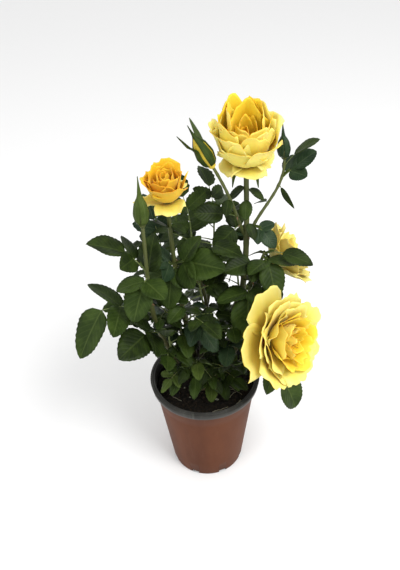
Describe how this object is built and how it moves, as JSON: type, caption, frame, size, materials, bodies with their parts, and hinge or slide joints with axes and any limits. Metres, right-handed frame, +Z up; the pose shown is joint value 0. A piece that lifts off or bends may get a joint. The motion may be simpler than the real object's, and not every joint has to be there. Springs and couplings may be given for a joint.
{
  "type": "potted rose bush",
  "caption": "Miniature rose bush in a round nursery pot: upright canes with compound leaves, large double blooms and pointed buds.",
  "frame": {"origin": "middle of the pot's flat underside, on the surface that the pot stands on", "axes": "+Z up along the pot's axis, -Y towards the plant's best side, +X to the right of it"},
  "size_m": [0.2748, 0.2454, 0.4873],
  "materials": {
    "pot_plastic": "weathered brown plastic, satin, black inside",
    "compost": "damp lumpy compost",
    "crown_bark": "rough bark",
    "cane_bark": "smooth green bark with brown flecks",
    "branch_green": "soft green new growth",
    "leaf": "semi-gloss leaf",
    "petal": "velvety petal",
    "bud": "waxy sepals"
  },
  "bodies": {
    "root": {"bloom_back": "petal", "bloom_left": "petal", "bloom_right": "petal", "bloom_top": "petal", "branch_half_bud": "branch_green", "branch_small_bud": "branch_green", "bud_half_open": "bud", "bud_left": "bud", "bud_small": "bud", "cane_back": "cane_bark", "cane_back_left": "cane_bark", "cane_back_right": "cane_bark", "cane_centre": "cane_bark", "cane_left": "cane_bark", "cane_left_bloom": "cane_bark", "cane_right": "cane_bark", "cane_right_leafy": "cane_bark", "cane_top": "cane_bark", "crown": "crown_bark", "leaf_centre_down": "leaf", "leaf_centre_face": "leaf", "leaf_left_face": "leaf", "leaf_left_foot": "leaf", "leaf_left_high": "leaf", "leaf_left_inner": "leaf", "leaf_left_low": "leaf", "leaf_left_up": "leaf", "leaf_right_cover": "leaf", "leaf_right_hanging": "leaf", "leaf_right_inner": "leaf", "leaf_right_tip": "leaf", "leaf_right_top": "leaf", "leaf_small_bud": "leaf", "leaf_stipule": "leaf", "leaf_top_low": "leaf", "leaf_top_narrow": "leaf", "leaf_top_right": "leaf", "leaf_top_side": "leaf", "leaf_under_bloom": "leaf", "pot": "pot_plastic", "shoot_back_left": "leaf", "shoot_back_left_top": "leaf", "shoot_back_low": "leaf", "shoot_back_right": "leaf", "shoot_back_top": "leaf", "shoot_centre_low": "leaf", "shoot_centre_mid": "leaf", "shoot_centre_side": "leaf", "shoot_centre_top": "leaf", "shoot_front": "leaf", "shoot_front_left": "leaf", "shoot_front_right": "leaf", "shoot_left_back": "leaf", "shoot_left_low": "leaf", "shoot_right_back": "leaf", "shoot_right_low": "leaf", "shoot_right_mid": "leaf", "shoot_right_side": "leaf", "soil": "compost"}
  },
  "joints": []
}
